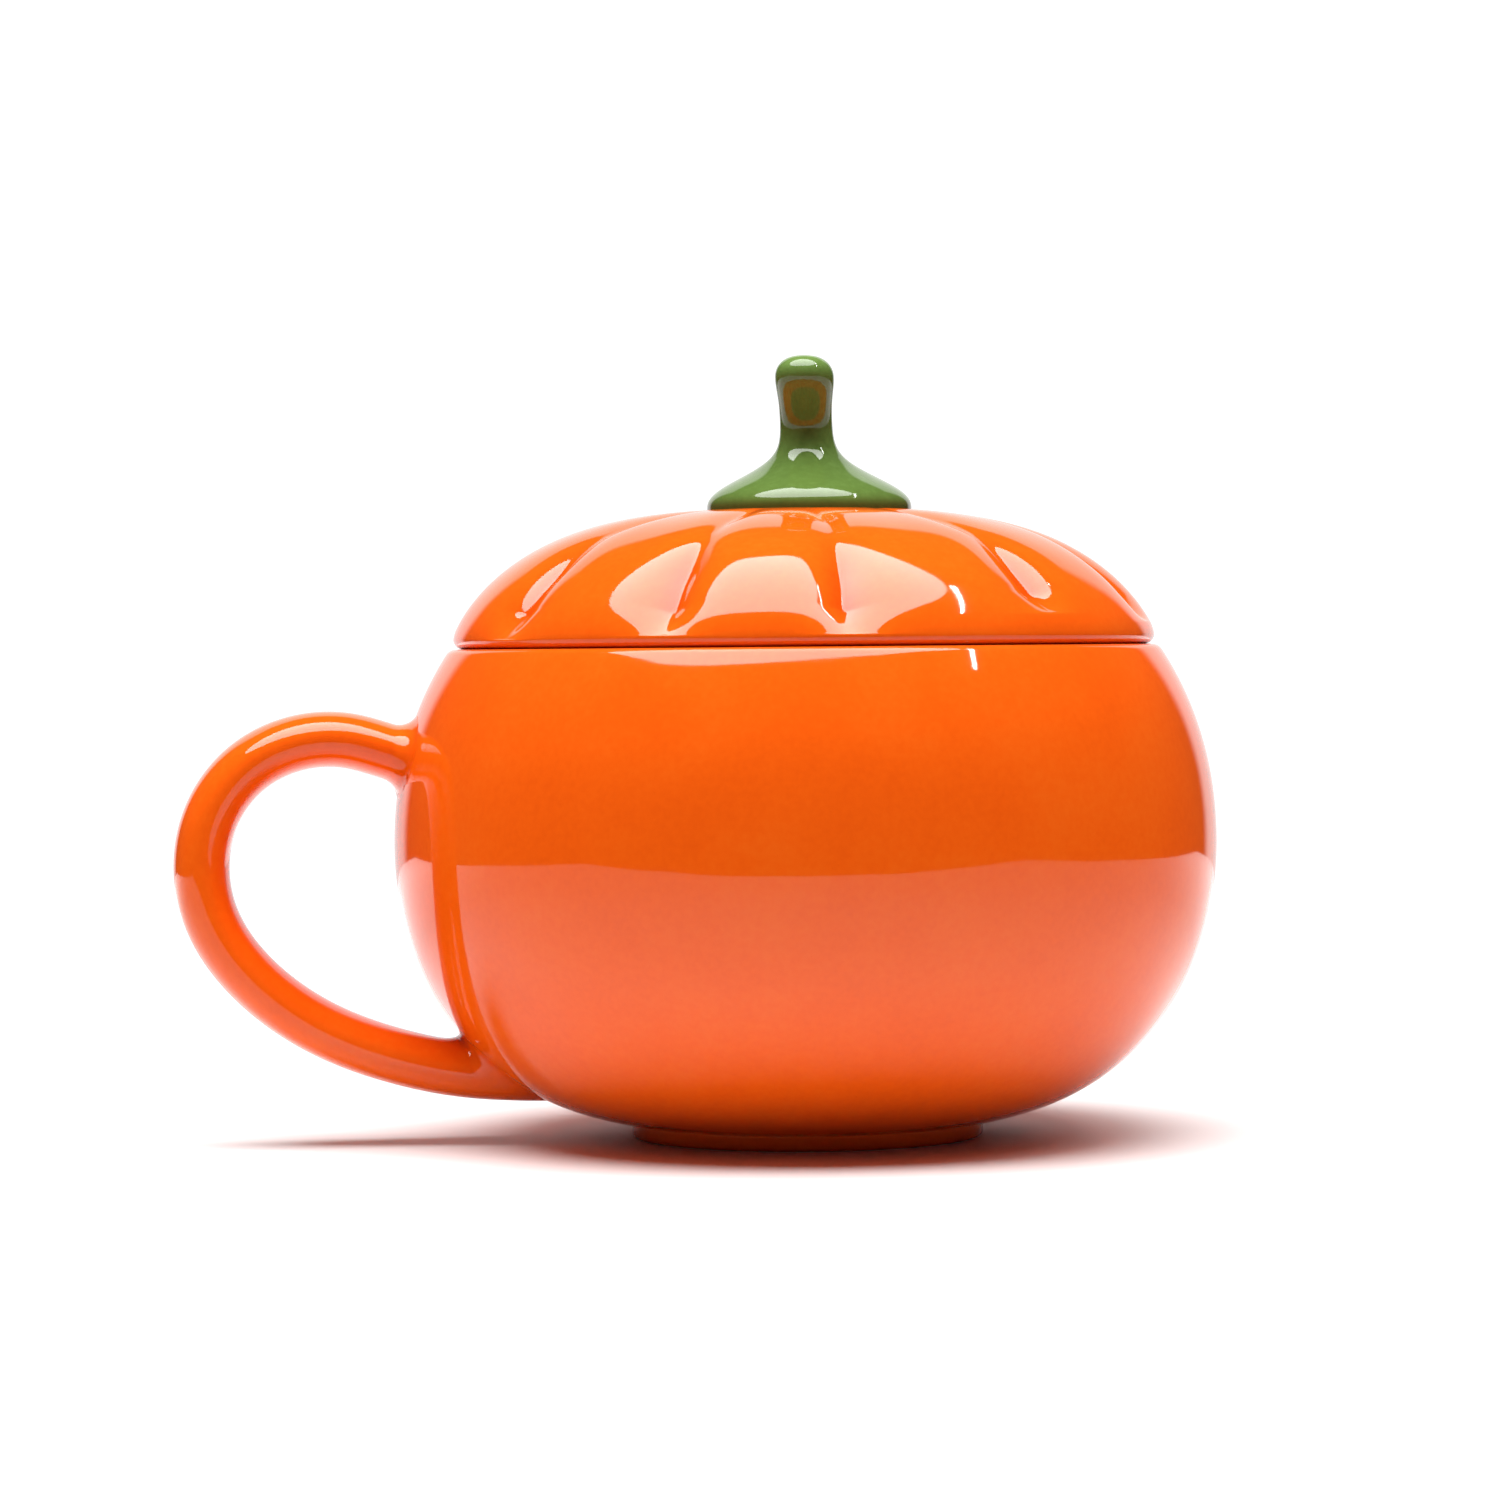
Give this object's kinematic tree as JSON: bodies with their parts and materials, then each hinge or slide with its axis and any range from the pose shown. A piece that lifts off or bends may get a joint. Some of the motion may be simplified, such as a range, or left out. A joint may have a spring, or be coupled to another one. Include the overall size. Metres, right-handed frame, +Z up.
{
  "type": "lidded pumpkin mug",
  "caption": "Round glazed mug shaped like a pumpkin, with a looped handle, a foot ring and a lift-off lobed lid whose green stem is the knob.",
  "frame": {"origin": "centre of the foot ring's face on the table", "axes": "+Z up through the lid and stem, handle along -X, +Y to one side"},
  "size_m": [0.1645, 0.13, 0.1232],
  "materials": {
    "orange_glaze": "gloss",
    "green_glaze": "gloss",
    "liner_glaze": "gloss",
    "bare_clay": "matte"
  },
  "bodies": {
    "cup": {"cup_body": "orange_glaze", "foot_ring": "bare_clay", "handle": "orange_glaze"},
    "lid": {"lid_dome": "orange_glaze", "lid_ring": "liner_glaze", "stem": "green_glaze"}
  },
  "joints": [
    {"name": "lid_lift", "type": "slide", "parent": "cup", "child": "lid", "axis": [0, 0, 1], "range_m": [0, 0.1]}
  ]
}
